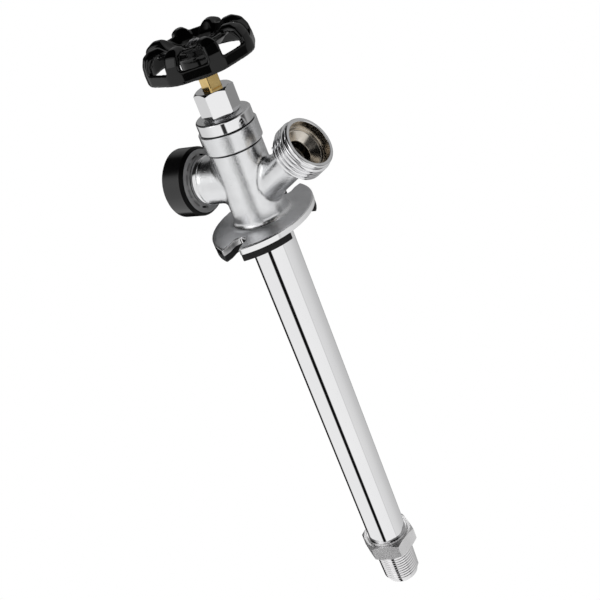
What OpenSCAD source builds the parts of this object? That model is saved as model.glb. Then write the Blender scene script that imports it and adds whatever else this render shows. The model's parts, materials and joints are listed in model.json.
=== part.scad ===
// Frost free sillcock: a handwheel tap on a long tube, with its valve seat at the warm end of the tube.
// Origin on the tube's axis at the wall face. +Y runs into the wall, -Y out to the handwheel, +Z is up.

/* [Tube] */
// Outside diameter of the tube
tube_d = 22.225; // [20:0.005:24]
// Wall of the tube
tube_wall = 1; // [0.8:0.1:1.4]
// Length of tube that shows behind the wall face
tube_reach = 204.2; // [120:0.1:320]
// Depth of the tube in the body, from the back of the flange
tube_in_body = 10.5; // [8:0.5:12]
// Depth of the tube in the inlet fitting
tube_in_fitting = 6; // [4:0.5:8]

/* [Wall flange] */
// Flange across its two tips
flange_w = 66; // [60:0.5:76]
// Flange from bottom to top
flange_h = 48; // [46:0.2:58]
// Thickness of the flange
flange_t = 3.3; // [2.5:0.1:5]
// Thickness of the wall gasket
gasket_t = 3.5; // [2:0.1:5]
// Width of the gasket's open slot, which slips over the tube from above
gasket_slot = 24.4; // [24.4:0.1:27]
// Width of a screw slot
slot_w = 7.2; // [6:0.1:10]
// Distance from the axis to the round end of a slot
slot_in = 20; // [18:0.5:22]
// Width of a slot at its open mouth
slot_mouth = 11.2; // [10.4:0.1:15]
// Spread of the body where it runs into the flange
neck_flare = 1.2; // [0.8:0.1:3.5]

/* [Body] */
// Front face of the body, from the wall face
body_len = 54.2; // [51:0.1:62]
// Diameter of the barrel at the flange
barrel_d = 27; // [26:0.2:29]
// Diameter of the barrel behind the front ring
barrel_front_d = 26; // [25:0.2:27]
// Diameter of the front ring
ring_d = 28; // [27.4:0.2:30]
// Length of the front ring
ring_len = 8.7; // [6:0.1:10]
// Diameter of the bore through the body
body_bore_d = 18.8; // [18:0.1:19.4]

/* [Hose outlet] */
// Angle of the outlet below the line of the tube
outlet_angle = 59; // [50:1:65]
// Where the outlet's line leaves the tube's line, in front of the wall face
outlet_root = 17.3; // [16.5:0.1:20]
// Length of the outlet along its own line
outlet_len = 46.8; // [43:0.1:54]
// Diameter over the hose thread
hose_thread_d = 26.8; // [25:0.1:28]
// Pitch of the hose thread
hose_pitch = 2.2; // [2:0.05:2.3]
// Depth of the hose thread
hose_thread_depth = 1.2; // [0.8:0.1:1.5]
// Number of thread crests
hose_crests = 4; // [3:1:4]
// Diameter of the spout
spout_d = 16.4; // [15:0.2:20]
// Diameter of the mouth where the hose washer sits
mouth_d = 21.6; // [20:0.1:22]
// Depth of the mouth
mouth_depth = 5; // [3:0.1:5.5]
// Diameter of the water passage
passage_d = 11.6; // [9:0.2:12.6]

/* [Vacuum breaker] */
// Line of the breaker, in front of the wall face
breaker_y = 27.7; // [26:0.1:32]
// Diameter of the boss
boss_d = 23.2; // [21.6:0.1:25]
// Diameter of the polished ring on the boss
boss_ring_d = 24; // [23:0.1:26]
// Height of that ring
boss_ring_h = 3.5; // [2:0.1:5]
// Top of the boss, from the tube's axis
boss_top = 24.5; // [24:0.1:30]
// Bore of the boss
boss_bore_d = 18.8; // [17:0.1:19.4]
// Floor of the boss bore, from the tube's axis
boss_floor = 14; // [13.4:0.1:14.5]
// Diameter of the black cap
cap_d = 33.6; // [30:0.1:36]
// Height of the cap
cap_h = 13; // [12:0.1:18]
// Wall of the cap
cap_wall = 1.4; // [1:0.1:2]
// Lift of the float
float_lift = 2.4; // [1:0.1:2.5]
// Number of air slots under the cap
vent_count = 12; // [6:1:16]

/* [Bonnet and packing nut] */
// Diameter of the bonnet collar
collar_d = 26.5; // [25:0.1:28]
// Length of the bonnet collar
collar_len = 5.7; // [4.5:0.1:8]
// Thickness of the bonnet gasket
bonnet_gasket_t = 0.4; // [0.2:0.1:1]
// Packing nut across flats
nut_af = 16.5; // [16.3:0.1:19]
// Length of the packing nut
nut_len = 12.3; // [11.4:0.1:14]
// Outside diameter of the threaded stuffing boss
stuffing_d = 14.4; // [14:0.1:14.6]
// Length of the stuffing boss
stuffing_len = 8.2; // [7:0.1:8.4]

/* [Stem] */
// Diameter of the stem
stem_d = 9; // [8:0.1:9.4]
// Stem shank across its flats
shank_af = 7; // [6:0.1:7.4]
// Length of shank between the packing nut and the handwheel
shank_gap = 7.1; // [6:0.1:12]
// Diameter over the stem thread
stem_thread_d = 11; // [10.4:0.1:12]
// Advance of the stem in one turn
stem_lead = 3; // [2:0.1:3.2]
// Turns from closed to open
stem_turns = 2; // [1:0.25:2]
// Length of the stem thread
stem_thread_len = 10; // [7:0.5:10]
// Diameter of the operating rod
rod_d = 6.4; // [5:0.1:6.8]

/* [Handwheel] */
// Diameter of the band round the wheel's foot
wheel_d = 51.6; // [48:0.2:60]
// Height of the band
band_h = 5.6; // [4:0.1:8]
// Radial width of the band
band_w = 2.6; // [2:0.1:4]
// Number of arched ribs
wheel_ribs = 8; // [6:1:8]
// Width of a rib
rib_w = 7; // [5:0.1:8]
// Thickness of a rib
rib_t = 3; // [2.4:0.1:3.6]
// Height of the ribs above the band
rib_rise = 9; // [7:0.1:11]
// Depth of the dish's edge below the tops of the ribs
valley = 2.3; // [2:0.1:4]
// Diameter of the circle through the tops of the ribs
crest_d = 36; // [34:0.2:38]
// Thickness of the dish between the ribs
dish_t = 2.2; // [1.6:0.1:3]
// Foot of the band, from the back of the hub
rim_rise = 4.4; // [2:0.1:6]
// Diameter of the hub
hub_d = 19; // [16:0.2:20]
// Length of the hub
hub_len = 13; // [12:0.1:14]

/* [Inlet fitting] */
// Inlet hexagon across flats
hex_af = 26.8; // [25.4:0.1:30]
// Length of the hexagon
hex_len = 9.4; // [9:0.1:12]
// Diameter at the start of the pipe thread
pipe_thread_d = 21.34; // [21:0.02:22]
// Length of the pipe thread
pipe_thread_len = 23.2; // [19:0.1:26]
// Pitch of the pipe thread
pipe_pitch = 1.814; // [1.5:0.002:2]
// Depth of the pipe thread
pipe_thread_depth = 1.1; // [0.8:0.05:1.2]
// Bore of the solder socket for copper pipe
socket_d = 15.94; // [15.6:0.01:16.1]
// Depth of the solder socket
socket_depth = 12.5; // [8:0.1:13]
// Diameter of the valve seat's hole
seat_d = 10; // [8:0.1:11]

/* [Fits] */
// Radial clearance of a turning or sliding fit
run_fit = 0.05; // [0.02:0.01:0.1]
// Radial clearance of a piece that floats free in its space
free_fit = 0.3; // [0.2:0.05:0.4]
// Gap left between the seat washer and its seat when shut
seat_gap = 0.1; // [0.05:0.05:0.2]

/* [Hidden] */
$fn = 64;
over = 1;

// Angles about the tube's axis, from +X towards +Z
rib_angle = 7.3;
nut_angle = 38.9;
shank_angle = 70.8;
hex_angle = 18.3;

// Radii
tube_r = tube_d / 2;
tube_in_r = tube_r - tube_wall;
barrel_r = barrel_d / 2;
stem_r = stem_d / 2;
stem_hole_r = stem_r + run_fit;
stem_thread_r = stem_thread_d / 2;
rod_r = rod_d / 2;
stuffing_r = stuffing_d / 2;
guide_r = tube_in_r - free_fit;

// Places along the tube's axis, from the wall outwards
y_flange_back = -gasket_t;
y_flange = y_flange_back - flange_t;
y_tube_front = y_flange_back - tube_in_body;
y_body = -body_len;
y_collar_back = y_body - bonnet_gasket_t;
y_collar = y_collar_back - collar_len;
gasket_inset = 0.3;
nut_gap = 0.3;
y_nut_back = y_collar - nut_gap;
y_nut = y_nut_back - nut_len;
y_hub_back = y_nut - shank_gap;
y_hub = y_hub_back - hub_len;
y_rim_back = y_hub_back - rim_rise;
y_arch = y_rim_back - band_h;
y_crest = y_arch - rib_rise;

// Stuffing box
packing_floor = 2.2;
packing_washer_t = 0.8;
gland_lip_t = 1;
y_stuffing = y_collar - stuffing_len;
y_packing_floor = y_collar - packing_floor;
y_packing = y_packing_floor - packing_washer_t;
gland_depth = 1.5;
y_gland_foot = y_stuffing + gland_depth;
packing_wall = 1.45;
packing_r = stem_hole_r + packing_wall;

// Stem and rod
stem_travel = stem_turns * stem_lead;
shoulder_t = 0.5;
y_shoulder = y_collar - shoulder_t;
shoulder_gap = 0.4;
y_thread_front = y_shoulder + stem_travel + shoulder_gap;
y_thread_back = y_thread_front + stem_thread_len;
stem_tail = 6.4;
y_tail = y_thread_back + stem_tail;
rod_socket = 10;
y_rod_front = y_tail - rod_socket;
pin_r = 1;
y_pin = y_tail - stem_tail / 2;
spigot_cover = 1.4;
y_spigot = y_thread_back + spigot_cover;
hub_end_wall = 1.2;
y_stem_front = y_hub + hub_end_wall + free_fit;
screw_r = 2.4;
screw_len = 9;
screw_head_r = 4.2;
screw_head_t = 2.6;

// Inlet end, from the wall inwards
collar_lip = 0.6;
y_hex = tube_reach + collar_lip;
y_hex_end = y_hex + hex_len;
y_inlet = y_hex_end + pipe_thread_len;
y_tube_end = tube_reach + tube_in_fitting;
seat_step = 2;
y_seat = y_tube_end + seat_step;
seat_cavity_r = 9;
pipe_taper = 1 / 32;

// Seat plug
washer_t = 3;
washer_r = 7.4;
plug_r = 8.4;
plug_len = 8;
plug_chamber = 3;
swivel_t = 2;
swivel_step = 0.4;
screw_gap = 0.2;
rod_flange_lip = 0.8;
rod_flange_r = rod_r + rod_flange_lip;
rod_flange_t = 2;
chamber_r = rod_flange_r + free_fit;
washer_screw_r = 2;
washer_screw_head_r = 3;
washer_screw_head_t = 2;
y_washer = y_seat - seat_gap;
y_plug = y_washer - washer_t;
y_plug_front = y_plug - plug_len;
y_rod_flange = y_plug_front + (plug_chamber - rod_flange_t) / 2;

// Vacuum breaker, from the tube's axis upwards
breaker_seat_t = 2;
float_t = 2;
float_seal_t = 1.5;
float_stop = 0.1;
z_float = boss_floor + breaker_seat_t;
z_seal = z_float + float_t;
z_guide = z_seal + float_seal_t + float_lift + float_stop;
breaker_gasket_t = 0.6;
z_guide_lip = boss_top + breaker_gasket_t;
cap_gap = 1.5;
z_cap = boss_top + cap_gap;
guide_disc_t = 1.5;
cap_top_t = 2.2;
z_cap_top = z_cap + cap_h;
z_cap_in = z_cap_top - cap_top_t;
cap_in_r = cap_d / 2 - cap_wall;
guide_post_r = 5;
float_pin_r = 2.2;
float_pin_rise = 2;
z_float_pin = z_cap + float_pin_rise;
port_inset = 1;
port_r = passage_d / 2 - port_inset;
port_step = 0.8;

// Hose outlet, along its own line
thread_lead = 1.6;
crest_flank = 0.4;
crest_flat = 0.9;
lip_edge = 0.4;
thread_relief = 1;
hose_r = hose_thread_d / 2;
hose_root_r = hose_r - hose_thread_depth;
s_thread = outlet_len - thread_lead - hose_crests * hose_pitch;
spout_flare = 3.4;
ridge_r = 9.3;
throat = 3.5;

// A piece along the tube's axis: local z runs along +Y
module along_y(y) {
    translate([0, y, 0]) rotate([-90, 0, 0]) children();
}

// Turned about the tube's axis from points of radius and y
module turned(points) {
    along_y(0) rotate_extrude() polygon(points);
}

module disc(y0, y1, r) {
    along_y(y0) cylinder(h = y1 - y0, r = r);
}

module ring(y0, y1, r_out, r_in) {
    difference() {
        disc(y0, y1, r_out);
        disc(y0 - over, y1 + over, r_in);
    }
}

module at_outlet() {
    translate([0, -outlet_root, 0]) rotate([90 + outlet_angle, 0, 0]) children();
}

module at_breaker(z) {
    translate([0, -breaker_y, z]) children();
}

// Hexagon bar with its flats at the given angle, both ends rounded off by cones
module hex_bar(y0, y1, af, angle, end_r, end_len) {
    past = 0.1;
    corner_r = af / 2 / cos(30);
    past_r = corner_r + past;
    intersection() {
        along_y(y0) rotate([0, 0, -angle - 30]) cylinder(h = y1 - y0, r = corner_r, $fn = 6);
        turned([[0, y0], [end_r, y0], [past_r, y0 + end_len], [past_r, y1 - end_len], [end_r, y1], [0, y1]]);
    }
}

// Square bar with rounded corners, its flats at the given angle
module shank_bar(y0, y1, af, r) {
    intersection() {
        along_y(y0) rotate([0, 0, -shank_angle]) translate([-af / 2, -af / 2, 0]) cube([af, af, y1 - y0]);
        disc(y0 - over, y1 + over, r);
    }
}

// Oval of two arcs through the flange's tips, top and bottom
module flange_oval() {
    arc_r = (pow(flange_w / 2, 2) + pow(flange_h / 2, 2)) / flange_h;
    drop = arc_r - flange_h / 2;
    intersection() {
        translate([0, drop]) circle(r = arc_r, $fn = 128);
        translate([0, -drop]) circle(r = arc_r, $fn = 128);
    }
}

// Screw slot with a round inner end and a flared mouth
module screw_slot() {
    slot_r = slot_w / 2;
    centre = slot_in + slot_r;
    flare_len = 5.5;
    flare_from = flange_w / 2 - flare_len;
    tip = flange_w / 2 + over;
    translate([centre, 0]) circle(r = slot_r);
    polygon([[centre, -slot_r], [flare_from, -slot_r], [tip, -slot_mouth / 2], [tip, slot_mouth / 2],
        [flare_from, slot_r], [centre, slot_r]]);
}

module flange_outline() {
    difference() {
        flange_oval();
        screw_slot();
        mirror([1, 0]) screw_slot();
    }
}

// Crests of the hose thread as radius and distance along the outlet
function hose_crest(i) = let (s = s_thread + i * hose_pitch)
    [[hose_root_r, s], [hose_r, s + crest_flank], [hose_r, s + crest_flank + crest_flat],
        [hose_root_r, s + 2 * crest_flank + crest_flat]];

module spout() {
    crests = [for (i = [0 : hose_crests - 1]) each hose_crest(i)];
    at_outlet() rotate_extrude() polygon(concat(
        [[0, 0], [spout_d / 2, 0], [spout_d / 2, s_thread - spout_flare], [hose_root_r, s_thread - thread_relief]],
        crests, [[hose_root_r, outlet_len - lip_edge], [hose_root_r - lip_edge, outlet_len], [0, outlet_len]]));
}

module outlet_passage() {
    s_ridge = outlet_len - mouth_depth;
    at_outlet() rotate_extrude() polygon([[0, 0], [passage_d / 2, 0], [passage_d / 2, s_ridge - throat],
        [ridge_r, s_ridge], [mouth_d / 2, s_ridge], [mouth_d / 2, outlet_len + over], [0, outlet_len + over]]);
}

module barrel() {
    y_ring = y_body + ring_len;
    ring_r = ring_d / 2;
    ring_edge = 0.5;
    turned([[0, y_body], [ring_r - ring_edge, y_body], [ring_r, y_body + ring_edge], [ring_r, y_ring - ring_edge],
        [barrel_front_d / 2, y_ring], [barrel_r, y_flange - neck_flare], [barrel_r + neck_flare, y_flange],
        [barrel_r + neck_flare, y_flange_back], [0, y_flange_back]]);
}

module boss() {
    at_breaker(0) cylinder(h = boss_top - boss_ring_h + over, d = boss_d);
    at_breaker(boss_top - boss_ring_h) cylinder(h = boss_ring_h, d = boss_ring_d);
}

module body() {
    color("gainsboro") difference() {
        union() {
            along_y(y_flange) linear_extrude(flange_t) flange_outline();
            barrel();
            spout();
            boss();
        }
        disc(y_tube_front, y_flange_back + over, tube_r + run_fit);
        disc(y_body - over, y_tube_front, body_bore_d / 2);
        outlet_passage();
        at_breaker(0) cylinder(h = boss_floor + over, r = port_r);
        at_breaker(boss_floor) cylinder(h = boss_top - boss_floor + over, d = boss_bore_d);
    }
}

module tube() {
    color("whitesmoke") ring(y_tube_front, y_tube_end, tube_r, tube_in_r);
}

module wall_gasket() {
    color("black") difference() {
        along_y(y_flange_back) linear_extrude(gasket_t) flange_outline();
        disc(y_flange_back - over, over, gasket_slot / 2);
        translate([-gasket_slot / 2, y_flange_back - over, -flange_h])
            cube([gasket_slot, gasket_t + 2 * over, flange_h]);
    }
}

// Taper pipe thread as turned grooves, from the hexagon to the inlet's end
module pipe_thread() {
    r_start = pipe_thread_d / 2;
    plain_end = 1;
    y_first = y_hex_end + plain_end;
    turns = floor((pipe_thread_len - 2 * plain_end) / pipe_pitch);
    function crest(y) = r_start - (y - y_hex_end) * pipe_taper;
    grooves = [for (i = [0 : turns - 1]) let (y = y_first + i * pipe_pitch)
        each [[crest(y), y], [crest(y) - pipe_thread_depth, y + pipe_pitch / 2]]];
    y_last = y_first + turns * pipe_pitch;
    r_end = crest(y_last) - pipe_thread_depth;
    turned(concat([[0, y_hex_end - over], [r_start, y_hex_end - over]], grooves,
        [[crest(y_last), y_last], [r_end, y_inlet], [0, y_inlet]]));
}

module inlet_fitting() {
    collar_wall = 1.1;
    hex_edge = 0.3;
    hex_edge_len = 1.1;
    color("silver") difference() {
        union() {
            disc(tube_reach, y_hex + over, tube_r + collar_wall);
            hex_bar(y_hex, y_hex_end, hex_af, hex_angle, hex_af / 2 + hex_edge, hex_edge_len);
            pipe_thread();
        }
        disc(tube_reach - over, y_tube_end, tube_r + run_fit);
        disc(y_tube_end - over, y_seat, seat_cavity_r);
        disc(y_seat - over, y_inlet, seat_d / 2);
        disc(y_inlet - socket_depth, y_inlet + over, socket_d / 2);
    }
}

module bonnet() {
    collar_r = collar_d / 2;
    edge = 0.6;
    color("whitesmoke") difference() {
        turned([[0, y_stuffing], [stuffing_r, y_stuffing], [stuffing_r, y_collar], [collar_r - edge, y_collar],
            [collar_r, y_collar + edge], [collar_r, y_collar_back], [body_bore_d / 2 - run_fit, y_collar_back],
            [body_bore_d / 2 - run_fit, y_spigot], [0, y_spigot]]);
        disc(y_stuffing - over, y_packing_floor, packing_r + run_fit);
        disc(y_packing_floor - over, y_shoulder + over, stem_hole_r);
        disc(y_shoulder, y_spigot + over, stem_thread_r + run_fit);
    }
}

module bonnet_gasket() {
    color("black") ring(y_collar_back, y_body, collar_d / 2 - gasket_inset, body_bore_d / 2);
}

module packing_nut() {
    nut_edge = 0.15;
    nut_edge_len = 1.1;
    color("whitesmoke") difference() {
        hex_bar(y_nut, y_nut_back, nut_af, nut_angle, nut_af / 2 - nut_edge, nut_edge_len);
        disc(y_stuffing - gland_lip_t, y_nut_back + over, stuffing_r + run_fit);
        disc(y_nut - over, y_stuffing, stem_hole_r + run_fit);
    }
}

module packing_gland() {
    color("goldenrod") {
        difference() {
            union() {
                disc(y_stuffing - gland_lip_t, y_stuffing, stuffing_r - run_fit);
                disc(y_stuffing - gland_lip_t, y_gland_foot, packing_r);
            }
            disc(y_stuffing - gland_lip_t - over, y_gland_foot + over, stem_hole_r);
        }
    }
}

module packing_ring() {
    color("dimgray") ring(y_gland_foot, y_packing, packing_r, stem_hole_r);
}

module packing_washer() {
    color("goldenrod") ring(y_packing, y_packing_floor, packing_r, stem_hole_r);
}

module breaker_seat() {
    color("goldenrod") at_breaker(boss_floor) difference() {
        cylinder(h = breaker_seat_t, r = boss_bore_d / 2 - run_fit);
        translate([0, 0, -over]) cylinder(h = breaker_seat_t + 2 * over, r = port_r - port_step);
    }
}

// Plug in the boss, a slotted disc that shows at the cap's open edge, and the post that carries the cap
module breaker_guide() {
    plug_out = boss_bore_d / 2 - run_fit;
    disc_r = cap_in_r - run_fit;
    vent_w = 4.6;
    vent_gap = 0.1;
    vent_len = 0.9;
    hole_count = 6;
    hole_r = 1.2;
    hole_at = (guide_post_r + plug_out) / 2;
    color("gray") at_breaker(0) difference() {
        union() {
            translate([0, 0, z_guide]) cylinder(h = z_guide_lip - z_guide + over, r = plug_out);
            translate([0, 0, z_guide_lip]) cylinder(h = z_cap - z_guide_lip + over, d = boss_ring_d);
            translate([0, 0, z_cap]) cylinder(h = guide_disc_t, r = disc_r);
            translate([0, 0, z_cap]) cylinder(h = z_cap_in - z_cap, r = guide_post_r);
        }
        translate([0, 0, z_guide - over])
            cylinder(h = z_float_pin + float_lift + 2 * over - z_guide, r = float_pin_r + run_fit);
        for (i = [0 : vent_count - 1]) rotate([0, 0, i * 360 / vent_count])
            translate([boss_ring_d / 2 + vent_gap, -vent_w / 2, z_cap - over])
                cube([vent_len, vent_w, guide_disc_t + 2 * over]);
        for (i = [0 : hole_count - 1]) rotate([0, 0, i * 360 / hole_count])
            translate([hole_at, 0, z_guide - over])
                cylinder(h = z_cap - z_guide + guide_disc_t + 2 * over, r = hole_r);
    }
}

module breaker_gasket() {
    color("black") at_breaker(boss_top) difference() {
        cylinder(h = breaker_gasket_t, d = boss_ring_d - 2 * gasket_inset);
        translate([0, 0, -over]) cylinder(h = breaker_gasket_t + 2 * over, d = boss_bore_d);
    }
}

module breaker_cap() {
    cap_r = cap_d / 2;
    edge = 1.1;
    skirt_edge = 1.8;
    crown = 0.3;
    hub_h = 4;
    hub_wall = 1.5;
    hub_in = guide_post_r + run_fit;
    color("black") at_breaker(0) rotate_extrude() polygon([[cap_in_r, z_cap], [cap_r - edge, z_cap],
        [cap_r, z_cap + skirt_edge], [cap_r, z_cap_top - edge], [cap_r - edge, z_cap_top - crown], [0, z_cap_top],
        [0, z_cap_in], [hub_in, z_cap_in], [hub_in, z_cap_in - hub_h],
        [hub_in + hub_wall, z_cap_in - hub_h], [hub_in + hub_wall, z_cap_in], [cap_in_r, z_cap_in]]);
}

module breaker_float() {
    float_space = 2;
    color("gray") at_breaker(z_float) {
        cylinder(h = float_t, r = boss_bore_d / 2 - float_space);
        cylinder(h = z_float_pin - z_float, r = float_pin_r);
    }
}

module float_seal() {
    seal_space = 1.6;
    color("black") at_breaker(z_seal) difference() {
        cylinder(h = float_seal_t, r = boss_bore_d / 2 - seal_space);
        translate([0, 0, -over]) cylinder(h = float_seal_t + 2 * over, r = float_pin_r + run_fit);
    }
}

// Stem thread as turned crests
module stem_thread() {
    flank_share = 0.3;
    flank = stem_lead * flank_share;
    crests = floor(stem_thread_len / stem_lead);
    points = [for (i = [0 : crests - 1]) let (y = y_thread_front + i * stem_lead)
        each [[stem_r, y], [stem_thread_r, y + flank], [stem_thread_r, y + 2 * flank], [stem_r, y + 3 * flank]]];
    turned(concat([[0, y_thread_front]], points, [[stem_r, y_thread_back], [0, y_thread_back]]));
}

module stem() {
    color("gold") difference() {
        union() {
            shank_bar(y_stem_front, y_nut + over, shank_af, stem_r);
            disc(y_nut, y_tail, stem_r);
            stem_thread();
        }
        disc(y_rod_front, y_tail + over, rod_r + run_fit);
        disc(y_stem_front - over, y_hub + screw_len + over, screw_r + run_fit);
        translate([0, y_pin, -stem_r - over]) cylinder(h = stem_d + 2 * over, r = pin_r + run_fit);
    }
}

module stem_rod() {
    color("gold") difference() {
        union() {
            disc(y_rod_front, y_rod_flange + over, rod_r);
            disc(y_rod_flange, y_rod_flange + rod_flange_t, rod_flange_r);
        }
        translate([0, y_pin, -rod_d]) cylinder(h = 2 * rod_d, r = pin_r + run_fit);
    }
}

module rod_pin() {
    color("silver") translate([0, y_pin, -stem_r]) cylinder(h = stem_d, r = pin_r);
}

// Spacer that keeps the rod in the middle of the tube, scalloped for the water
module rod_guide() {
    guide_len = 8;
    guide_wall = 1.4;
    y_guide = tube_reach / 2;
    color("whitesmoke") difference() {
        ring(y_guide, y_guide + guide_len, guide_r, rod_r + run_fit);
        for (i = [0 : 2]) along_y(y_guide - over) rotate([0, 0, i * 120]) translate([guide_r, 0, 0])
            cylinder(h = guide_len + 2 * over, r = guide_r - rod_r - guide_wall);
    }
}

// Bars with rounded tops that run out from the axis
module rib_bars() {
    top_r = rib_w / 2;
    reach = wheel_d / 2 + over;
    for (i = [0 : wheel_ribs - 1]) along_y(y_crest) rotate([0, 0, -rib_angle - i * 360 / wheel_ribs])
        translate([0, 0, top_r]) {
            rotate([0, 90, 0]) cylinder(h = reach, r = top_r);
            translate([0, -top_r, 0]) cube([reach, rib_w, rib_rise]);
        }
}

// Arched ribs over a dish that rises from the hub; the gaps between the ribs are open out to the band
module wheel_arches() {
    wheel_r = wheel_d / 2;
    hub_in = hub_d / 2 - 1;
    foot = 0.6;
    side_lean = 0.4;
    brow_in = 2.2;
    crest_cut = 0.1;
    crest_half = 2;
    crest_in = crest_d / 2 - crest_half;
    crest_out = crest_d / 2 + crest_half;
    dish_step = 3;
    dish_rise = 1.5;
    dish_r = hub_d / 2 + dish_step;
    y_dish = y_hub - dish_rise;
    y_top = y_crest + crest_cut;
    y_valley = y_crest + valley;
    intersection() {
        rib_bars();
        turned([[hub_in, y_hub], [dish_r, y_dish], [crest_in, y_top], [crest_out, y_top],
            [wheel_r - brow_in, y_crest + rib_rise / 4], [wheel_r - side_lean, y_arch - rib_rise / 3],
            [wheel_r, y_arch + foot], [wheel_r - band_w, y_arch + foot],
            [wheel_r - band_w - side_lean, y_arch - rib_rise / 4], [crest_out - side_lean, y_top + rib_t],
            [crest_in, y_top + rib_t], [dish_r, y_dish + rib_t], [hub_in, y_hub + rib_t]]);
    }
    turned([[hub_in, y_hub + foot], [dish_r, y_dish + foot], [crest_in, y_valley], [crest_d / 2, y_valley],
        [crest_d / 2, y_valley + dish_t], [crest_in, y_valley + dish_t], [dish_r, y_dish + foot + dish_t],
        [hub_in, y_hub + foot + dish_t]]);
}

// Band with flatter sides under the gaps and round corners under the ribs
module wheel_band() {
    corner_trim = 1.2;
    intersection() {
        ring(y_arch, y_rim_back, wheel_d / 2, wheel_d / 2 - band_w);
        along_y(y_arch - over) rotate([0, 0, -rib_angle])
            cylinder(h = band_h + 2 * over, r = wheel_d / 2 + corner_trim, $fn = wheel_ribs);
    }
}

module handwheel() {
    color([0.06, 0.06, 0.07]) difference() {
        union() {
            disc(y_hub, y_hub_back, hub_d / 2);
            wheel_arches();
            wheel_band();
        }
        shank_bar(y_hub + hub_end_wall, y_hub_back + over, shank_af + 2 * run_fit, stem_hole_r);
        disc(y_hub - over, y_hub + hub_end_wall + over, screw_r + run_fit);
    }
}

module handle_screw() {
    slot_t = 1;
    slot_depth = 1;
    color("silver") difference() {
        union() {
            disc(y_hub - screw_head_t / 2, y_hub + screw_len, screw_r);
            turned([[0, y_hub], [screw_head_r, y_hub], [screw_head_r, y_hub - screw_head_t / 2],
                [screw_head_r / 2, y_hub - screw_head_t], [0, y_hub - screw_head_t]]);
        }
        along_y(y_hub - screw_head_t - over) translate([-screw_head_r, -slot_t / 2, 0])
            cube([2 * screw_head_r, slot_t, over + slot_depth]);
    }
}

// Plug that slides without turning: the rod's flange swivels in its front chamber
module seat_plug() {
    key_w = 2.4;
    key_end = 1;
    color("goldenrod") difference() {
        union() {
            disc(y_plug_front, y_plug, plug_r);
            intersection() {
                for (i = [0 : 1]) along_y(y_plug_front + key_end) rotate([0, 0, i * 90])
                    translate([-guide_r, -key_w / 2, 0]) cube([2 * guide_r, key_w, plug_len - 2 * key_end]);
                disc(y_plug_front, y_plug, guide_r);
            }
        }
        disc(y_plug_front - over, y_plug_front + plug_chamber, chamber_r);
        disc(y_plug_front + plug_chamber + over, y_plug + over, washer_screw_r + run_fit);
    }
}

module swivel_ring() {
    color("goldenrod") ring(y_plug_front - swivel_t, y_plug_front, plug_r - swivel_step, rod_r + 2 * run_fit);
}

module seat_washer() {
    color("black") ring(y_plug, y_washer, washer_r, washer_screw_r + run_fit);
}

module washer_screw() {
    color("silver") {
        disc(y_plug_front + plug_chamber + over + screw_gap, y_washer + washer_screw_head_t / 2, washer_screw_r);
        disc(y_washer, y_washer + washer_screw_head_t, washer_screw_head_r);
    }
}

body();
tube();
inlet_fitting();
wall_gasket();
bonnet();
bonnet_gasket();
packing_nut();
packing_gland();
packing_ring();
packing_washer();
breaker_seat();
breaker_guide();
breaker_gasket();
breaker_cap();
breaker_float();
float_seal();
stem();
stem_rod();
rod_pin();
rod_guide();
handwheel();
handle_screw();
seat_plug();
swivel_ring();
seat_washer();
washer_screw();
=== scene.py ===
import json
import math
import bmesh
import bpy
from mathutils import Matrix, Vector


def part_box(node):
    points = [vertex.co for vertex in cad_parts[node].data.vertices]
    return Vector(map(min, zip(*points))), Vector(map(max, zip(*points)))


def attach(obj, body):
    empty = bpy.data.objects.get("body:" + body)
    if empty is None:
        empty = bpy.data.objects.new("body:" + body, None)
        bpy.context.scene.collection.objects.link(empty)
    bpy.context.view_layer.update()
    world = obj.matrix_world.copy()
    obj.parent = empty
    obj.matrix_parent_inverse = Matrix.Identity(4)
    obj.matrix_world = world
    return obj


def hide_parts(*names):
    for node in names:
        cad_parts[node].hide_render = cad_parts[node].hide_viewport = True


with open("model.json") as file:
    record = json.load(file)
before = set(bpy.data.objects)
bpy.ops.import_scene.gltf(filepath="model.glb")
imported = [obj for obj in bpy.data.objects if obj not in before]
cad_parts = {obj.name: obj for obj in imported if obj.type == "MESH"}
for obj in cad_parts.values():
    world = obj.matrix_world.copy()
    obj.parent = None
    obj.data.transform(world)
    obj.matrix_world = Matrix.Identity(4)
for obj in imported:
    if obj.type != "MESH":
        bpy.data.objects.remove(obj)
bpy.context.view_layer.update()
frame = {"nodes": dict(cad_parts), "record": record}

mm = 0.001
touching = 0.001 * mm            # points closer than this are one point
alongTube = Vector((0, 1, 0))    # into the wall
upward = Vector((0, 0, 1))
tubeCentre = Vector((0, 0, 0))   # a point on the tube's axis


# Finishes
grainRange = (0.3, 0.7)          # nearly all of the noise lies between these


def newFinish(name):
    finish = bpy.data.materials.new(name)
    finish.use_nodes = True
    return finish, finish.node_tree, finish.node_tree.nodes["Principled BSDF"]


def grain(tree, size, detail=3.0, stretch=(1, 1, 1)):
    # noise with lumps of about the given size, on the piece's own coordinates
    coord = tree.nodes.new("ShaderNodeTexCoord")
    mapping = tree.nodes.new("ShaderNodeMapping")
    noise = tree.nodes.new("ShaderNodeTexNoise")
    mapping.inputs["Scale"].default_value = stretch
    noise.inputs["Scale"].default_value = 1 / size
    noise.inputs["Detail"].default_value = detail
    tree.links.new(coord.outputs["Object"], mapping.inputs["Vector"])
    tree.links.new(mapping.outputs["Vector"], noise.inputs["Vector"])
    return noise.outputs["Fac"]


def tint(tree, shader, pattern, dark, light):
    ramp = tree.nodes.new("ShaderNodeValToRGB")
    for i, colour in enumerate((dark, light)):
        ramp.color_ramp.elements[i].position = grainRange[i]
        ramp.color_ramp.elements[i].color = (*colour, 1)
    tree.links.new(pattern, ramp.inputs["Fac"])
    tree.links.new(ramp.outputs["Color"], shader.inputs["Base Color"])


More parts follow.
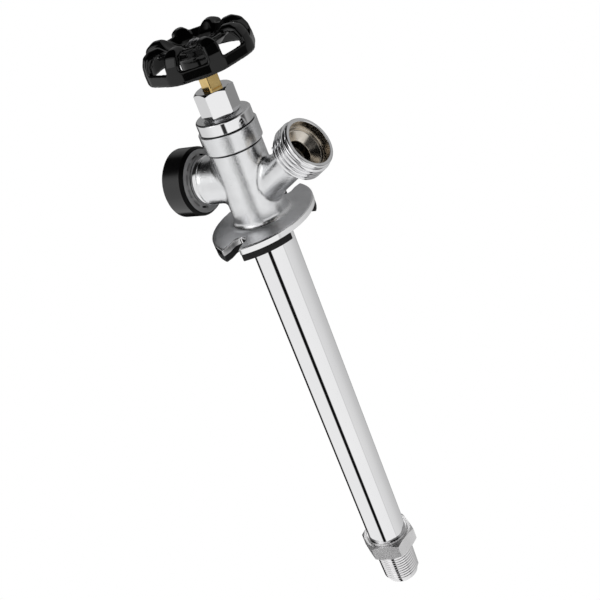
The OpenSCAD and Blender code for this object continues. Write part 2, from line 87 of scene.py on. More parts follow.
def roughen(tree, shader, pattern, smooth, rough):
    spread = tree.nodes.new("ShaderNodeMapRange")
    spread.inputs["From Min"].default_value, spread.inputs["From Max"].default_value = grainRange
    spread.inputs["To Min"].default_value = smooth
    spread.inputs["To Max"].default_value = rough
    tree.links.new(pattern, spread.inputs["Value"])
    tree.links.new(spread.outputs["Result"], shader.inputs["Roughness"])


def emboss(tree, shader, pattern, depth, strength):
    bump = tree.nodes.new("ShaderNodeBump")
    bump.inputs["Strength"].default_value = strength
    bump.inputs["Distance"].default_value = depth
    tree.links.new(pattern, bump.inputs["Height"])
    tree.links.new(bump.outputs["Normal"], shader.inputs["Normal"])


def grainedFinish(name, dark, light, smooth, rough, grainSize, depth, strength, detail, clouds, stretch=(1, 1, 1)):
    # fine grain in the gloss and the relief, under clouds of colour so many times as wide
    finish, tree, shader = newFinish(name)
    pattern = grain(tree, grainSize, detail, stretch)
    tint(tree, shader, grain(tree, grainSize * clouds, detail=4), dark, light)
    roughen(tree, shader, pattern, smooth, rough)
    emboss(tree, shader, pattern, depth, strength)
    return finish, shader


def metalFinish(name, **look):
    finish, shader = grainedFinish(name, detail=3, clouds=12, **look)
    shader.inputs["Metallic"].default_value = 1
    return finish


def mouldedFinish(name, gloss=0.5, **look):
    finish, shader = grainedFinish(name, detail=4, clouds=9, **look)
    shader.inputs["Specular IOR Level"].default_value = gloss
    return finish


blastedChrome = metalFinish("blastedChrome", dark=(0.8, 0.805, 0.815), light=(0.86, 0.865, 0.875),
                            smooth=0.17, rough=0.28, grainSize=0.5 * mm, depth=0.09 * mm, strength=0.7)
flatChrome = metalFinish("flatChrome", dark=(0.74, 0.745, 0.76), light=(0.84, 0.845, 0.86),
                         smooth=0.36, rough=0.5, grainSize=0.6 * mm, depth=0.1 * mm, strength=0.8)
mirrorChrome = metalFinish("mirrorChrome", dark=(0.86, 0.86, 0.87), light=(0.9, 0.9, 0.905),
                           smooth=0.03, rough=0.07, grainSize=6 * mm, depth=0.01 * mm, strength=0.05)
brightNickel = metalFinish("brightNickel", dark=(0.8, 0.795, 0.8), light=(0.88, 0.875, 0.88),
                           smooth=0.05, rough=0.12, grainSize=0.8 * mm, depth=0.01 * mm, strength=0.1)
castNickel = metalFinish("castNickel", dark=(0.78, 0.775, 0.78), light=(0.88, 0.875, 0.88),
                         smooth=0.26, rough=0.38, grainSize=0.6 * mm, depth=0.05 * mm, strength=0.6)
# rougher satin nickel whose lighter colour is painted light, making the faces it is given look more brightly lit
satinNickelPaintedLight = metalFinish("satinNickelPaintedLight", dark=(0.9, 0.895, 0.9), light=(0.96, 0.955, 0.96),
                          smooth=0.36, rough=0.46, grainSize=0.6 * mm, depth=0.03 * mm, strength=0.4)
warmNickel = metalFinish("warmNickel", dark=(0.6, 0.55, 0.48), light=(0.74, 0.69, 0.62),
                         smooth=0.18, rough=0.28, grainSize=1.5 * mm, depth=0.01 * mm, strength=0.1)
# painted shade: near-black metal laid in the groove behind the front ring and on the floor of the hose thread's
# groove, where shade falls
paintedGrooveShade = metalFinish("paintedGrooveShade", dark=(0.03, 0.03, 0.031), light=(0.08, 0.08, 0.082),
                       smooth=0.45, rough=0.6, grainSize=0.4 * mm, depth=0.03 * mm, strength=0.4)
turnedBrass = metalFinish("turnedBrass", dark=(0.7, 0.47, 0.16), light=(0.9, 0.66, 0.28),
                          smooth=0.12, rough=0.24, grainSize=0.6 * mm, depth=0.015 * mm, strength=0.2,
                          stretch=(1, 4, 1))    # finer along the stem, as turning marks are
platedSteel = metalFinish("platedSteel", dark=(0.5, 0.5, 0.51), light=(0.62, 0.62, 0.63),
                          smooth=0.2, rough=0.34, grainSize=0.5 * mm, depth=0.015 * mm, strength=0.2)
glossEnamel = mouldedFinish("glossEnamel", gloss=0.36, dark=(0.002, 0.002, 0.0022), light=(0.004, 0.004, 0.0042),
                            smooth=0.06, rough=0.12, grainSize=1.6 * mm, depth=0.03 * mm, strength=0.12)
satinPlastic = mouldedFinish("satinPlastic", gloss=0.7, dark=(0.004, 0.004, 0.0042), light=(0.007, 0.007, 0.0073),
                             smooth=0.14, rough=0.22, grainSize=0.5 * mm, depth=0.012 * mm, strength=0.12)
matteBlack = mouldedFinish("matteBlack", gloss=0.1, dark=(0.002, 0.002, 0.002), light=(0.004, 0.004, 0.004),
                           smooth=0.3, rough=0.4, grainSize=0.5 * mm, depth=0.012 * mm, strength=0.12)
greyPlastic = mouldedFinish("greyPlastic", dark=(0.45, 0.45, 0.455), light=(0.56, 0.56, 0.565),
                            smooth=0.4, rough=0.55, grainSize=0.6 * mm, depth=0.015 * mm, strength=0.15)
whitePlastic = mouldedFinish("whitePlastic", dark=(0.72, 0.72, 0.71), light=(0.82, 0.82, 0.81),
                             smooth=0.35, rough=0.5, grainSize=0.8 * mm, depth=0.015 * mm, strength=0.15)
blackRubber = mouldedFinish("blackRubber", gloss=0.3, dark=(0.008, 0.008, 0.0085), light=(0.018, 0.018, 0.0185),
                            smooth=0.5, rough=0.7, grainSize=0.4 * mm, depth=0.03 * mm, strength=0.3)
graphitePacking = mouldedFinish("graphitePacking", dark=(0.04, 0.04, 0.042), light=(0.1, 0.1, 0.105),
                                smooth=0.5, rough=0.7, grainSize=0.7 * mm, depth=0.08 * mm, strength=0.5)

finishOfSlot = {
    "satin_chrome": blastedChrome, "polished_chrome": mirrorChrome, "nickel": brightNickel,
    "brass": turnedBrass, "steel": platedSteel, "black_enamel": glossEnamel,
    "black_plastic": satinPlastic, "grey_plastic": greyPlastic, "black_rubber": blackRubber,
    "packing": graphitePacking, "white_plastic": whitePlastic,
}
for subpart in frame["record"]["subparts"]:
    nodeMesh = frame["nodes"][subpart["node"]].data
    nodeMesh.materials.clear()
    nodeMesh.materials.append(finishOfSlot[subpart["material_slot"]])


# Ways of making a piece

def nodeCopy(node):
    bm = bmesh.new()
    bm.from_mesh(frame["nodes"][node].data)
    bmesh.ops.remove_doubles(bm, verts=bm.verts, dist=touching)
    return bm


def wholeFaces(bm):
    # triangles that lie in one plane become one face again
    bmesh.ops.dissolve_limit(bm, angle_limit=math.radians(1), verts=bm.verts, edges=bm.edges)


def sliceAt(bm, point, away, keepInner):
    # what lies beyond the point goes; without keepInner only the section itself stays
    bmesh.ops.bisect_plane(bm, geom=bm.verts[:] + bm.edges[:] + bm.faces[:], dist=touching, plane_co=point,
                           plane_no=away, clear_inner=not keepInner, clear_outer=True)


def cutOff(bm, point, away):
    sliceAt(bm, point, away, keepInner=True)
    # the cut is a ring round the bore, and the ring is closed
    bmesh.ops.bridge_loops(bm, edges=[edge for edge in bm.edges if edge.is_boundary])


def sharpEdges(bm, degrees):
    limit = math.radians(degrees)
    return [edge for edge in bm.edges if len(edge.link_faces) == 2 and edge.calc_face_angle(0) > limit]


def roundEdges(bm, width, segments=3, degrees=25):
    bmesh.ops.bevel(bm, geom=sharpEdges(bm, degrees), offset=width, offset_type="OFFSET", affect="EDGES",
                    segments=segments, profile=0.5, material=-1, clamp_overlap=True)


def drawProfile(bm, profile, centre, axis):
    # points given by radius and distance along the axis
    side = axis.orthogonal().normalized()
    return [bm.verts.new(centre + side * radius + axis * along) for radius, along in profile]


def closeSpun(bm):
    # seam and poles merge, the edges this leaves loose go, and the faces are turned outwards
    bmesh.ops.remove_doubles(bm, verts=bm.verts, dist=touching)
    bmesh.ops.delete(bm, geom=[edge for edge in bm.edges if not edge.link_faces], context="EDGES")
    bmesh.ops.recalc_face_normals(bm, faces=bm.faces)


def turned(profile, centre, axis, steps=96):
    # closed profile, spun all the way round
    bm = bmesh.new()
    verts = drawProfile(bm, profile, centre, axis)
    edges = [bm.edges.new((verts[i - 1], verts[i])) for i in range(len(verts))]
    bmesh.ops.spin(bm, geom=verts + edges, cent=centre, axis=axis, angle=math.tau, steps=steps, use_merge=True)
    closeSpun(bm)
    return bm


def threadRidge(thread, rootRadius, start, axis, stepsPerTurn=72):
    # one ridge wound round the axis, sunk into the core below it
    footRadius = rootRadius - thread["sunk"]
    slope = (thread["foot"] - thread["crest"]) / 2
    profile = [(footRadius, 0), (rootRadius, 0), (thread["crestRadius"], slope),
               (thread["crestRadius"], slope + thread["crest"]), (rootRadius, thread["foot"]),
               (footRadius, thread["foot"])]
    bm = bmesh.new()
    face = bm.faces.new(drawProfile(bm, profile, start, axis))
    bmesh.ops.spin(bm, geom=[face], cent=start, axis=axis, dvec=axis * (thread["pitch"] / stepsPerTurn),
                   angle=thread["turns"] * math.tau, steps=int(thread["turns"] * stepsPerTurn))
    closeSpun(bm)
    return bm


def remeshed(bm, voxel, fillet):
    # even skin, grown by the fillet and shrunk again: that fills inner corners, and a minus rounds outer edges
    mesh = bpy.data.meshes.new("skinSource")
    bm.to_mesh(mesh)
    bm.free()
    source = bpy.data.objects.new("skinSource", mesh)
    bpy.context.collection.objects.link(source)
    for push in (fillet, -fillet, 0):
        skin = source.modifiers.new("skin", "REMESH")
        skin.mode = "VOXEL"
        skin.voxel_size = voxel
        if push:
            grow = source.modifiers.new("grow", "DISPLACE")
            grow.mid_level = 0
            grow.strength = push
    result = bmesh.new()
    result.from_object(source, bpy.context.evaluated_depsgraph_get())
    bpy.data.objects.remove(source)
    bpy.data.meshes.remove(mesh)
    return result


def soften(bm, rounds):
    for _ in range(rounds):
        bmesh.ops.smooth_vert(bm, verts=bm.verts, factor=0.5, use_axis_x=True, use_axis_y=True, use_axis_z=True)


def addPiece(name, bm, finish, body, nodes=(), degrees=30, second=None, where=None):
    # edges sharper than the degrees stay sharp, and where says which faces take the second finish
    for face in bm.faces:
        face.smooth = True
        face.material_index = 1 if where and where(face) else 0
    for edge in sharpEdges(bm, degrees):
        edge.smooth = False
    mesh = bpy.data.meshes.new(name)
    bm.to_mesh(mesh)
    bm.free()
    mesh.materials.append(finish)
    if second:
        mesh.materials.append(second)
    piece = bpy.data.objects.new(name, mesh)
    bpy.context.collection.objects.link(piece)
    if degrees < 180:
        # flat faces stay flat beside their rounded edges
        piece.modifiers.new("evenNormals", "WEIGHTED_NORMAL").keep_sharp = True
    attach(piece, body)
    if nodes:
        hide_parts(*nodes)
    print("piece:", name, len(mesh.polygons), "faces")
    return piece


# Cast body, with soft inner corners where the spout, boss and flange meet the barrel
castBody = {"voxel": 0.45 * mm, "fillet": 2.2 * mm, "smoothing": 4, "ringLength": 8.75 * mm,
            "outletAngle": 59, "outletRoot": 17.3 * mm, "spoutEnd": 34.2 * mm,
            "flangeDepth": 9 * mm, "flangeFacing": -0.8}

outletAngle = math.radians(castBody["outletAngle"])
outletAxis = Vector((0, -math.cos(outletAngle), -math.sin(outletAngle)))
outletStart = Vector((0, -castBody["outletRoot"], 0))    # where the spout's axis leaves the tube's
bodyLow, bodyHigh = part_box("body")
bodyFront = bodyLow[1]


def onFlangeFront(face):
    return face.normal.y < castBody["flangeFacing"] and face.calc_center_median().y > -castBody["flangeDepth"]


bm = nodeCopy("body")
cutOff(bm, outletStart + outletAxis * castBody["spoutEnd"], outletAxis)
cutOff(bm, Vector((0, bodyFront + castBody["ringLength"], 0)), -alongTube)
bm = remeshed(bm, castBody["voxel"], castBody["fillet"])
soften(bm, castBody["smoothing"])
addPiece("castBody", bm, blastedChrome, "valve_body", ["body"], degrees=180, second=flatChrome,
         where=onFlangeFront)

# Polished edge round the flange and its two slots, from a section through the flange
flangeRim = {"sectionDepth": 1.6 * mm, "thickness": 2.9 * mm, "proud": 0.12 * mm, "inside": 14 * mm,
             "leastTilt": 0.01, "edge": 0.35 * mm, "slotReach": 6.5 * mm, "slotFacing": 0.5}

flangeBack = bodyHigh[1]
bm = nodeCopy("body")
sliceAt(bm, Vector((0, flangeBack - flangeRim["sectionDepth"], 0)), alongTube, keepInner=False)
bmesh.ops.triangle_fill(bm, use_beauty=True, use_dissolve=True, edges=bm.edges[:], normal=alongTube)
bmesh.ops.translate(bm, verts=bm.verts, vec=alongTube * flangeRim["sectionDepth"])
front = bmesh.ops.extrude_face_region(bm, geom=bm.faces[:])["geom"]
bmesh.ops.translate(bm, verts=[part for part in front if isinstance(part, bmesh.types.BMVert)],
                    vec=alongTube * -flangeRim["thickness"])
wholeFaces(bm)
bmesh.ops.recalc_face_normals(bm, faces=bm.faces)
bm.normal_update()
for vert in bm.verts:
    # the rim stands a little proud of the casting
    outward = Vector((vert.normal.x, 0, vert.normal.z))
    if math.hypot(vert.co.x, vert.co.z) > flangeRim["inside"] and outward.length > flangeRim["leastTilt"]:
        vert.co += outward.normalized() * flangeRim["proud"]
bm.normal_update()
roundEdges(bm, flangeRim["edge"], degrees=60)


def onSlotWall(face):
    height = abs(face.calc_center_median().z)
    return abs(face.normal.z) > flangeRim["slotFacing"] and height < flangeRim["slotReach"]


# the slot walls take the rougher nickel; its lighter colour there is painted light
addPiece("flangeRim", bm, mirrorChrome, "valve_body", second=satinNickelPaintedLight, where=onSlotWall)

# Turned ring at the front of the body, with painted shade in the groove behind it
frontRing = {"radius": 14.1 * mm, "length": 8.9 * mm, "bore": 9.4 * mm, "edge": 0.3 * mm,
             "grooveRadius": 13.1 * mm, "grooveLength": 1.25 * mm}

ringBack = bodyFront + frontRing["length"]
grooveBack = ringBack + frontRing["grooveLength"]
bm = turned([(frontRing["bore"], bodyFront), (frontRing["radius"], bodyFront), (frontRing["radius"], ringBack),
             (frontRing["grooveRadius"], ringBack), (frontRing["grooveRadius"], grooveBack),
             (frontRing["bore"], grooveBack)], tubeCentre, alongTube)
roundEdges(bm, frontRing["edge"])
# painted shade: the faces behind the ring take near-black metal, standing in for the shade under the ring's edge
addPiece("frontRing", bm, blastedChrome, "valve_body", second=paintedGrooveShade,
         where=lambda face: face.calc_center_median().y > ringBack)

# Polished ring on top of the boss
bossRing = {"radius": 12.25 * mm, "height": 3.5 * mm, "depth": 2.4 * mm, "edge": 0.4 * mm}

capLow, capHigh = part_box("breaker_cap")
breakerCentre = Vector((0, (capLow[1] + capHigh[1]) / 2, 0))
bossTop = bodyHigh[2]
bossFoot = bossTop - bossRing["height"]
bossInner = bossRing["radius"] - bossRing["depth"]
bm = turned([(bossInner, bossTop), (bossRing["radius"], bossTop), (bossRing["radius"], bossFoot),
             (bossInner, bossFoot)], breakerCentre, upward)
roundEdges(bm, bossRing["edge"])
addPiece("bossRing", bm, mirrorChrome, "valve_body")

# Hose outlet: neck, plain end, mouth and throat turned in one piece
hoseEnd = {"start": 33.8 * mm, "neck": 2.8 * mm, "neckLength": 1.6 * mm, "rootRadius": 12.2 * mm, "end": 46.8 * mm,
           "plainLength": 2.3 * mm, "plainRadius": 12.75 * mm, "rim": 0.5 * mm, "mouthRadius": 10.8 * mm,
           "mouthDepth": 5 * mm, "ridgeRadius": 9.3 * mm, "throat": 3.5 * mm, "passageRadius": 5.8 * mm,
           "edge": 0.4 * mm, "lip": 0.3 * mm, "mouthSlack": 0.1 * mm}

neckEnd = hoseEnd["start"] + hoseEnd["neckLength"]
plainStart = hoseEnd["end"] - hoseEnd["plainLength"]
ridgeAt = hoseEnd["end"] - hoseEnd["mouthDepth"]
bm = turned([(hoseEnd["rootRadius"] - hoseEnd["neck"], hoseEnd["start"]), (hoseEnd["rootRadius"], neckEnd),
             (hoseEnd["rootRadius"], plainStart), (hoseEnd["plainRadius"], plainStart + hoseEnd["rim"]),
             (hoseEnd["plainRadius"], hoseEnd["end"] - hoseEnd["rim"]),
             (hoseEnd["plainRadius"] - hoseEnd["rim"], hoseEnd["end"]),
             (hoseEnd["mouthRadius"], hoseEnd["end"]), (hoseEnd["mouthRadius"], ridgeAt),
             (hoseEnd["ridgeRadius"], ridgeAt), (hoseEnd["passageRadius"], ridgeAt - hoseEnd["throat"]),
             (hoseEnd["passageRadius"], hoseEnd["start"])], outletStart, outletAxis)
roundEdges(bm, hoseEnd["edge"])


def fromOutlet(point):
    # distance along the outlet's axis, and the way across from it
    offset = point - outletStart
    reach = offset.dot(outletAxis)
    return reach, offset - outletAxis * reach


def insideMouth(face):
    reach, across = fromOutlet(face.calc_center_median())
    behindLip = reach < hoseEnd["end"] - hoseEnd["lip"]
    return behindLip and across.length < hoseEnd["mouthRadius"] + hoseEnd["mouthSlack"]


addPiece("hoseEnd", bm, mirrorChrome, "valve_body", second=warmNickel, where=insideMouth)

# Painted shade: a near-black sleeve on the floor of the hose thread's groove, where the ridges shade it
hoseGrooveShade = {"proud": 0.03 * mm, "sunk": 0.4 * mm}

floorRadius = hoseEnd["rootRadius"] + hoseGrooveShade["proud"]
floorInner = hoseEnd["rootRadius"] - hoseGrooveShade["sunk"]
bm = turned([(floorInner, neckEnd), (floorRadius, neckEnd), (floorRadius, plainStart), (floorInner, plainStart)],
            outletStart, outletAxis)
addPiece("hoseGrooveShade", bm, paintedGrooveShade, "valve_body")

# Hose thread, whose lead fades into the plain end
hoseThread = {"crestRadius": 13.4 * mm, "pitch": 2.2 * mm, "turns": 3.9, "crest": 1.1 * mm, "foot": 1.8 * mm,
              "sunk": 0.4 * mm, "runOut": -0.3 * mm, "edge": 0.2 * mm, "leadDepth": 0.1 * mm}

threadStart = plainStart + hoseThread["runOut"] - hoseThread["turns"] * hoseThread["pitch"]
bm = threadRidge(hoseThread, hoseEnd["rootRadius"], outletStart + outletAxis * threadStart, outletAxis)
roundEdges(bm, hoseThread["edge"], segments=2)
for vert in bm.verts:
    reach, across = fromOutlet(vert.co)
    limit = hoseEnd["plainRadius"] - hoseThread["leadDepth"] + max(0, plainStart - reach)
    if across.length > limit:
        vert.co += across.normalized() * (limit - across.length)
addPiece("hoseThread", bm, mirrorChrome, "valve_body")

# Long tube
tubeShell = {"wall": 1 * mm, "edge": 0.25 * mm, "steps": 160}

tubeLow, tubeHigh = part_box("tube")
tubeRadius = tubeHigh[0]
tubeInner = tubeRadius - tubeShell["wall"]
bm = turned([(tubeRadius, tubeLow[1]), (tubeRadius, tubeHigh[1]), (tubeInner, tubeHigh[1]),
             (tubeInner, tubeLow[1])], tubeCentre, alongTube, tubeShell["steps"])
roundEdges(bm, tubeShell["edge"])
addPiece("tubeShell", bm, mirrorChrome, "valve_body", ["tube"])

# Wall gasket: the solid's own faces with their edges eased
gasketPad = {"edge": 0.5 * mm}

bm = nodeCopy("wall_gasket")
wholeFaces(bm)
roundEdges(bm, gasketPad["edge"], degrees=60)
addPiece("gasketPad", bm, blackRubber, "valve_body", ["wall_gasket"])

# Bonnet: polished collar in front of the body, stuffing boss that carries the nut, spigot in the body's bore
bonnetCollar = {"collarRadius": 13.25 * mm, "collarLength": 5.7 * mm, "shoulder": 0.6 * mm,
                "bossRadius": 7.2 * mm, "bossLength": 8.2 * mm, "spigotRadius": 9.35 * mm,
                "threadRadius": 5.55 * mm, "threadDepth": 7.7 * mm, "stemHole": 4.55 * mm,
                "packingRadius": 6.05 * mm, "packingDepth": 6 * mm, "edge": 0.25 * mm, "steps": 128,
                "frontFacing": -0.4}

bonnetLow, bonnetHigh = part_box("bonnet")
bossEnd = bonnetLow[1]
spigotEnd = bonnetHigh[1]
collarFront = bossEnd + bonnetCollar["bossLength"]
collarBack = collarFront + bonnetCollar["collarLength"]
packingFloor = bossEnd + bonnetCollar["packingDepth"]
threadFloor = bossEnd + bonnetCollar["threadDepth"]
bm = turned([(bonnetCollar["bossRadius"], bossEnd), (bonnetCollar["bossRadius"], collarFront),
             (bonnetCollar["collarRadius"] - bonnetCollar["shoulder"], collarFront),
             (bonnetCollar["collarRadius"], collarFront + bonnetCollar["shoulder"]),
             (bonnetCollar["collarRadius"], collarBack), (bonnetCollar["spigotRadius"], collarBack),
             (bonnetCollar["spigotRadius"], spigotEnd), (bonnetCollar["threadRadius"], spigotEnd),
             (bonnetCollar["threadRadius"], threadFloor), (bonnetCollar["stemHole"], threadFloor),
             (bonnetCollar["stemHole"], packingFloor), (bonnetCollar["packingRadius"], packingFloor),
             (bonnetCollar["packingRadius"], bossEnd)], tubeCentre, alongTube, bonnetCollar["steps"])
roundEdges(bm, bonnetCollar["edge"], degrees=35)
addPiece("bonnetCollar", bm, mirrorChrome, "valve_body", ["bonnet"], second=blastedChrome,
         where=lambda face: face.normal.y < bonnetCollar["frontFacing"])

# Packing nut: the solid's own faces with their edges eased
nutShell = {"edge": 0.12 * mm}

bm = nodeCopy("packing_nut")
wholeFaces(bm)
roundEdges(bm, nutShell["edge"], segments=2, degrees=20)
addPiece("nutShell", bm, mirrorChrome, "valve_body", ["packing_nut"])

# Inlet hexagon, cut from the solid just past its back face
inletHex = {"collar": 0.6 * mm, "length": 9.4 * mm, "past": 0.5 * mm, "edge": 0.3 * mm, "frontFacing": -0.3}

inletLow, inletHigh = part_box("inlet_fitting")
inletEnd = inletHigh[1]
hexFront = inletLow[1] + inletHex["collar"]
hexBack = hexFront + inletHex["length"]
bm = nodeCopy("inlet_fitting")
cutOff(bm, Vector((0, hexBack + inletHex["past"], 0)), alongTube)
wholeFaces(bm)
roundEdges(bm, inletHex["edge"], segments=2, degrees=20)
# faces turned to the front take the rougher nickel; its lighter colour there is painted light on that side
hexPiece = addPiece("inletHex", bm, castNickel, "valve_body", ["inlet_fitting"], second=satinNickelPaintedLight,
                    where=lambda face: face.normal.y < inletHex["frontFacing"])

# Bright bead where the tube is joined to the hexagon
joinBead = {"height": 0.9 * mm, "length": 1.1 * mm, "sunk": 0.3 * mm, "edge": 0.4 * mm}

beadFront = hexFront - joinBead["length"]
beadRadius = tubeRadius + joinBead["height"]
beadInner = tubeRadius - joinBead["sunk"]
bm = turned([(beadInner, beadFront), (beadRadius, beadFront), (beadRadius, hexFront), (beadInner, hexFront)],
            tubeCentre, alongTube)
roundEdges(bm, joinBead["edge"])
beadPiece = addPiece("joinBead", bm, brightNickel, "valve_body")

# Core of the inlet's thread, with the solder socket in it
inletCore = {"rootRadius": 9.8 * mm, "taper": 1 / 48, "socketRadius": 7.97 * mm, "socketDepth": 12.5 * mm,
             "socketWall": 0.3 * mm, "seatRadius": 5 * mm, "edge": 0.4 * mm}


def taperThread(bm):
    # narrows what is outside the socket's wall towards the inlet's end
    for vert in bm.verts:
        past = vert.co.y - hexBack
        radius = math.hypot(vert.co.x, vert.co.z)
        if past > 0 and radius > inletCore["socketRadius"] + inletCore["socketWall"]:
            shrink = 1 - past * inletCore["taper"] / radius
            vert.co.x *= shrink
            vert.co.z *= shrink


socketFloor = inletEnd - inletCore["socketDepth"]
bm = turned([(inletCore["rootRadius"], hexBack), (inletCore["rootRadius"], inletEnd),
             (inletCore["socketRadius"], inletEnd), (inletCore["socketRadius"], socketFloor),
             (inletCore["seatRadius"], socketFloor), (inletCore["seatRadius"], hexBack)], tubeCentre, alongTube)
roundEdges(bm, inletCore["edge"])
taperThread(bm)
addPiece("inletCore", bm, brightNickel, "valve_body")

# Taper pipe thread, wound from inside the hexagon's back face
inletThread = {"crestRadius": 10.9 * mm, "pitch": 1.814 * mm, "turns": 11.3, "crest": 1.1 * mm, "foot": 1.7 * mm,
               "sunk": 0.5 * mm, "inside": 0.2 * mm}

bm = threadRidge(inletThread, inletCore["rootRadius"], Vector((0, hexBack - inletThread["inside"], 0)), alongTube)
taperThread(bm)
addPiece("inletThread", bm, brightNickel, "valve_body")

# Handwheel, an enamelled casting
wheelCast = {"voxel": 0.36 * mm, "rounding": 0.6 * mm, "smoothing": 6}

bm = remeshed(nodeCopy("handwheel"), wheelCast["voxel"], -wheelCast["rounding"])
soften(bm, wheelCast["smoothing"])
addPiece("wheelCast", bm, glossEnamel, "stem", ["handwheel"], degrees=180)

# Breaker cap: a hollow cup with a rounded brow and a chamfered open edge
capShell = {"wall": 1.4 * mm, "brow": 1.2 * mm, "chamfer": 1.1 * mm, "chamferHeight": 1.8 * mm, "top": 2.2 * mm,
            "edge": 0.35 * mm, "undersideFacing": -0.2}

capRadius = capHigh[0]
capInner = capRadius - capShell["wall"]
capFoot = capLow[2]
capTop = capHigh[2]
capCeiling = capTop - capShell["top"]
bm = turned([(capInner, capFoot), (capRadius - capShell["chamfer"], capFoot),
             (capRadius, capFoot + capShell["chamferHeight"]), (capRadius, capTop - capShell["brow"]),
             (capRadius - capShell["brow"], capTop), (0, capTop), (0, capCeiling), (capInner, capCeiling)],
            breakerCentre, upward)
roundEdges(bm, capShell["edge"])
addPiece("capShell", bm, satinPlastic, "valve_body", ["breaker_cap"], second=matteBlack,
         where=lambda face: face.normal.z < capShell["undersideFacing"])


# Studio floor, pale and plain
studioFloor = {"height": -0.45, "size": 6.0, "dark": (0.86, 0.86, 0.86), "light": (0.9, 0.9, 0.9), "mottle": 0.4,
               "roughness": 0.9, "glow": 0.4}

bm = bmesh.new()
bmesh.ops.create_grid(bm, x_segments=1, y_segments=1, size=studioFloor["size"] / 2)
bmesh.ops.translate(bm, verts=bm.verts, vec=(0, 0, studioFloor["height"]))
floorMesh = bpy.data.meshes.new("studioFloor")
bm.to_mesh(floorMesh)
bm.free()
floorFinish, floorTree, floorShader = newFinish("floorPaint")
tint(floorTree, floorShader, grain(floorTree, studioFloor["mottle"]), studioFloor["dark"], studioFloor["light"])
floorShader.inputs["Roughness"].default_value = studioFloor["roughness"]
floorShader.inputs["Emission Color"].default_value = (1, 1, 1, 1)
floorShader.inputs["Emission Strength"].default_value = studioFloor["glow"]
floorMesh.materials.append(floorFinish)
floor = bpy.data.objects.new("studioFloor", floorMesh)
bpy.context.collection.objects.link(floor)
floor.visible_glossy = False
floor.visible_diffuse = False

# Surround that the metal reflects: soft light and dark bands that run along the tube, as degrees round its axis
# and level. They differ toward the wall, beside the body and out in front, with black straight ahead.
surroundBands = {
    "tube": [(-180, 0.1), (-172, 0.005), (-136, 0.005), (-130, 0.85), (-120, 0.9), (-46, 0.9), (-43, 0.005),
             (-28, 0.005), (-25, 0.94), (38, 0.92), (41, 0.62), (45, 0.78), (74, 0.73), (106, 0.62), (144, 0.54),
             (165, 0.4), (180, 0.1)],
    "side": [(-180, 0.12), (-165, 0.05), (-150, 0.1), (-138, 0.68), (-100, 0.72), (-60, 0.9), (-27, 0.92),
             (-23, 0.03), (-11, 0.03), (-7, 0.95), (40, 0.92), (60, 0.85), (67, 0.1), (80, 0.1), (90, 0.4),
             (120, 0.26), (150, 0.3), (180, 0.12)],
    "front": [(-180, 0.3), (-170, 0.27), (-158, 0.02), (-96, 0.02), (-88, 0.85), (-12, 0.8), (-4, 0.03),
              (45, 0.03), (60, 0.45), (120, 0.4), (160, 0.32), (180, 0.3)],
    "zeroDegrees": (-0.779, 0, -0.627), "ninetyDegrees": (0.627, 0, -0.779),
    # each set gives way to the next between these, measured into the wall
    "sideToTube": (0.36, 0.395), "frontToSide": (-0.14, -0.04), "blackToFront": (-0.82, -0.74),
    "blackLevel": 0.02, "brightness": 1.0,
}

surround = bpy.data.worlds.new("surround")
bpy.context.scene.world = surround
surround.use_nodes = True
sky = surround.node_tree
sky.nodes.clear()
direction = sky.nodes.new("ShaderNodeTexCoord")


def along(vector):
    dot = sky.nodes.new("ShaderNodeVectorMath")
    dot.operation = "DOT_PRODUCT"
    dot.inputs[1].default_value = vector
    sky.links.new(direction.outputs["Generated"], dot.inputs[0])
    return dot.outputs["Value"]


def rampOver(value, span, levels):
    ramp = sky.nodes.new("ShaderNodeMapRange")
    for name, number in zip(("From Min", "From Max", "To Min", "To Max"), (*span, *levels)):
        ramp.inputs[name].default_value = number
    sky.links.new(value, ramp.inputs["Value"])
    return ramp.outputs["Result"]


def bandsOver(turn, levels):
    ramp = sky.nodes.new("ShaderNodeValToRGB")
    stops = ramp.color_ramp.elements
    sky.links.new(turn, ramp.inputs["Fac"])
    while len(stops) > 1:
        stops.remove(stops[-1])
    for i, (degrees, level) in enumerate(levels):
        place = (degrees + 180) / 360
        stop = stops[0] if i == 0 else stops.new(place)
        stop.position = place
        stop.color = (level, level, level, 1)
    return ramp.outputs["Color"]


def blend(share, first, second):
    mix = sky.nodes.new("ShaderNodeMixRGB")
    sky.links.new(share, mix.inputs["Fac"])
    sky.links.new(first, mix.inputs["Color1"])
    sky.links.new(second, mix.inputs["Color2"])
    return mix.outputs["Color"]


angle = sky.nodes.new("ShaderNodeMath")
angle.operation = "ARCTAN2"
sky.links.new(along(surroundBands["ninetyDegrees"]), angle.inputs[0])
sky.links.new(along(surroundBands["zeroDegrees"]), angle.inputs[1])
turn = rampOver(angle.outputs["Value"], (-math.pi, math.pi), (0, 1))
intoWall = along(alongTube)
bands = blend(rampOver(intoWall, surroundBands["sideToTube"], (0, 1)),
              bandsOver(turn, surroundBands["side"]), bandsOver(turn, surroundBands["tube"]))
bands = blend(rampOver(intoWall, surroundBands["frontToSide"], (0, 1)),
              bandsOver(turn, surroundBands["front"]), bands)
around = sky.nodes.new("ShaderNodeBackground")
sky.links.new(bands, around.inputs["Color"])
sky.links.new(rampOver(intoWall, surroundBands["blackToFront"],
                       (surroundBands["blackLevel"], surroundBands["brightness"])), around.inputs["Strength"])
backdrop = sky.nodes.new("ShaderNodeBackground")    # plain white behind the tap
backdrop.inputs["Color"].default_value = (1, 1, 1, 1)
rays = sky.nodes.new("ShaderNodeLightPath")
either = sky.nodes.new("ShaderNodeMixShader")
sky.links.new(rays.outputs["Is Camera Ray"], either.inputs[0])
sky.links.new(around.outputs["Background"], either.inputs[1])
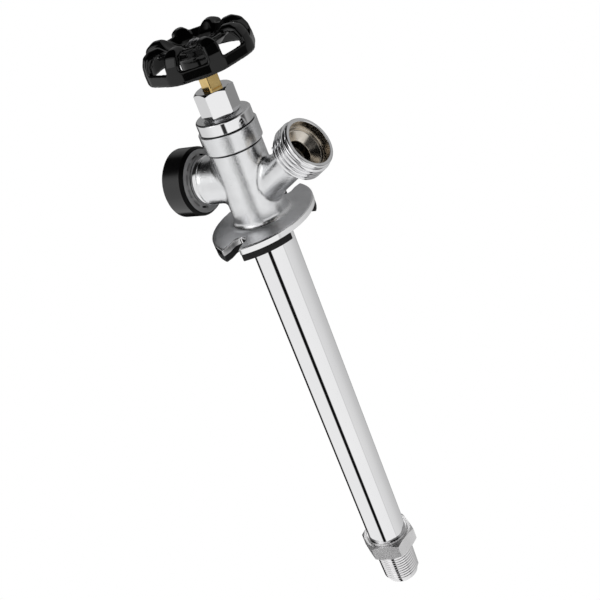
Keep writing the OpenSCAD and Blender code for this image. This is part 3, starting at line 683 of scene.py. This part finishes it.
sky.links.new(backdrop.outputs["Background"], either.inputs[2])
worldOut = sky.nodes.new("ShaderNodeOutputWorld")
sky.links.new(either.outputs["Shader"], worldOut.inputs["Surface"])
bpy.context.scene.view_settings.view_transform = "Standard"

# Soft panels: one for the whole tap, and one for the inlet's hexagon and bead alone
keyPanel = {"place": (-0.55, -0.35, 0.25), "target": (0, -0.03, 0), "size": 0.3, "power": 0.25}
inletPanel = {"place": (0.276, 0.02, 0.22), "target": (0, 0.21, 0), "size": 0.25, "power": 0.22}


def addPanel(name, panel, only=()):
    light = bpy.data.lights.new(name, "AREA")
    light.size = panel["size"]
    light.energy = panel["power"]
    lamp = bpy.data.objects.new(name, light)
    bpy.context.collection.objects.link(lamp)
    lamp.visible_camera = False
    lamp.location = panel["place"]
    facing = Vector(panel["target"]) - Vector(panel["place"])
    lamp.rotation_euler = facing.to_track_quat("-Z", "Y").to_euler()
    if only:
        lit = bpy.data.collections.new(name + "Lit")
        for piece in only:
            lit.objects.link(piece)
        lamp.light_linking.receiver_collection = lit


addPanel("keyPanel", keyPanel)
addPanel("inletPanel", inletPanel, only=[hexPiece, beadPiece])

# Camera below and in front of the tap, rolled so that the tube runs down the picture
photoCamera = {"place": (-0.3445, -0.1928, -0.2776), "forward": (0.6892, 0.4712, 0.5506),
               "up": (0.571, -0.821, -0.011), "lens": 60, "sensor": 36, "nearest": 0.01, "farthest": 20}

lens = bpy.data.cameras.new("photoCamera")
lens.lens = photoCamera["lens"]
lens.sensor_width = photoCamera["sensor"]
lens.sensor_height = photoCamera["sensor"]
lens.clip_start = photoCamera["nearest"]
lens.clip_end = photoCamera["farthest"]
eye = bpy.data.objects.new("photoCamera", lens)
bpy.context.collection.objects.link(eye)
forward = Vector(photoCamera["forward"]).normalized()
right = forward.cross(Vector(photoCamera["up"])).normalized()
up = right.cross(forward)
eye.matrix_world = Matrix.Translation(photoCamera["place"]) @ Matrix((right, up, -forward)).transposed().to_4x4()
bpy.context.scene.camera = eye
print("studio: floor, surround, panels and camera")
